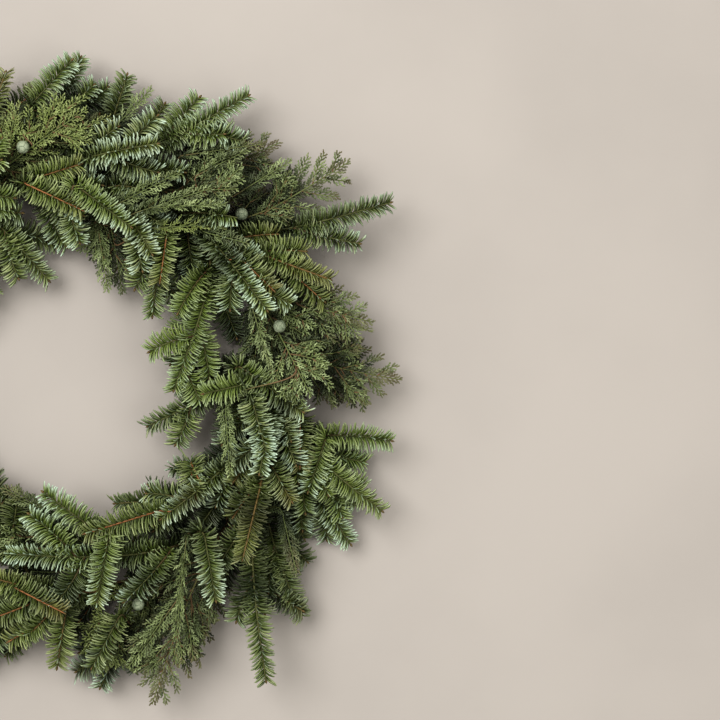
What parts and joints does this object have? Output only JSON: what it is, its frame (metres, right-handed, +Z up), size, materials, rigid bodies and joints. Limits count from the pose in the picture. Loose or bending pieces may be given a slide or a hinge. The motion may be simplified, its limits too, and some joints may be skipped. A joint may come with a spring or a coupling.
{
  "type": "evergreen wreath",
  "caption": "Fresh evergreen wreath of cut fir branches, lacy cedar sprays and small glaucous cones, held by their stems in a steel clamp ring; it lies flat on its back.",
  "frame": {"origin": "centre of the wreath's bounding box, on the surface that it lies on", "axes": "+Z up out of the surface, towards whoever looks at the wreath's face; +Y is the top of the wreath as in the picture, +X its right side"},
  "size_m": [0.635, 0.6132, 0.0933],
  "materials": {
    "fir": "fresh fir needles, waxy green with pale undersides, on brown twigs",
    "cedar": "matt grey-green scale leaves, browner at the tips",
    "cone": "matt blue-green with a waxy bloom",
    "steel": "dark green enamelled wire, satin"
  },
  "bodies": {
    "root": {"cedar_branch_01": "cedar", "cedar_branch_02": "cedar", "cedar_branch_03": "cedar", "cedar_branch_04": "cedar", "cedar_branch_05": "cedar", "cedar_branch_06": "cedar", "cedar_branch_07": "cedar", "cedar_branch_08": "cedar", "cedar_branch_09": "cedar", "cedar_branch_10": "cedar", "cedar_branch_11": "cedar", "cedar_branch_12": "cedar", "cedar_branch_13": "cedar", "cedar_branch_14": "cedar", "cedar_branch_15": "cedar", "cedar_branch_16": "cedar", "clamp_ring": "steel", "cone_01": "cone", "cone_02": "cone", "cone_03": "cone", "cone_04": "cone", "cone_05": "cone", "fir_branch_01": "fir", "fir_branch_02": "fir", "fir_branch_03": "fir", "fir_branch_04": "fir", "fir_branch_05": "fir", "fir_branch_06": "fir", "fir_branch_07": "fir", "fir_branch_08": "fir", "fir_branch_09": "fir", "fir_branch_10": "fir", "fir_branch_11": "fir", "fir_branch_12": "fir", "fir_branch_13": "fir", "fir_branch_14": "fir", "fir_branch_15": "fir", "fir_branch_16": "fir", "fir_branch_17": "fir", "fir_branch_18": "fir", "fir_branch_19": "fir", "fir_branch_20": "fir", "fir_branch_21": "fir", "fir_branch_22": "fir", "fir_branch_23": "fir", "fir_branch_24": "fir", "fir_branch_25": "fir", "fir_branch_26": "fir", "fir_branch_27": "fir", "fir_branch_28": "fir", "fir_branch_29": "fir", "fir_branch_30": "fir", "fir_branch_31": "fir", "fir_branch_32": "fir", "fir_branch_33": "fir", "fir_branch_34": "fir", "fir_branch_35": "fir", "fir_branch_36": "fir", "fir_branch_37": "fir", "fir_branch_38": "fir"}
  },
  "joints": []
}
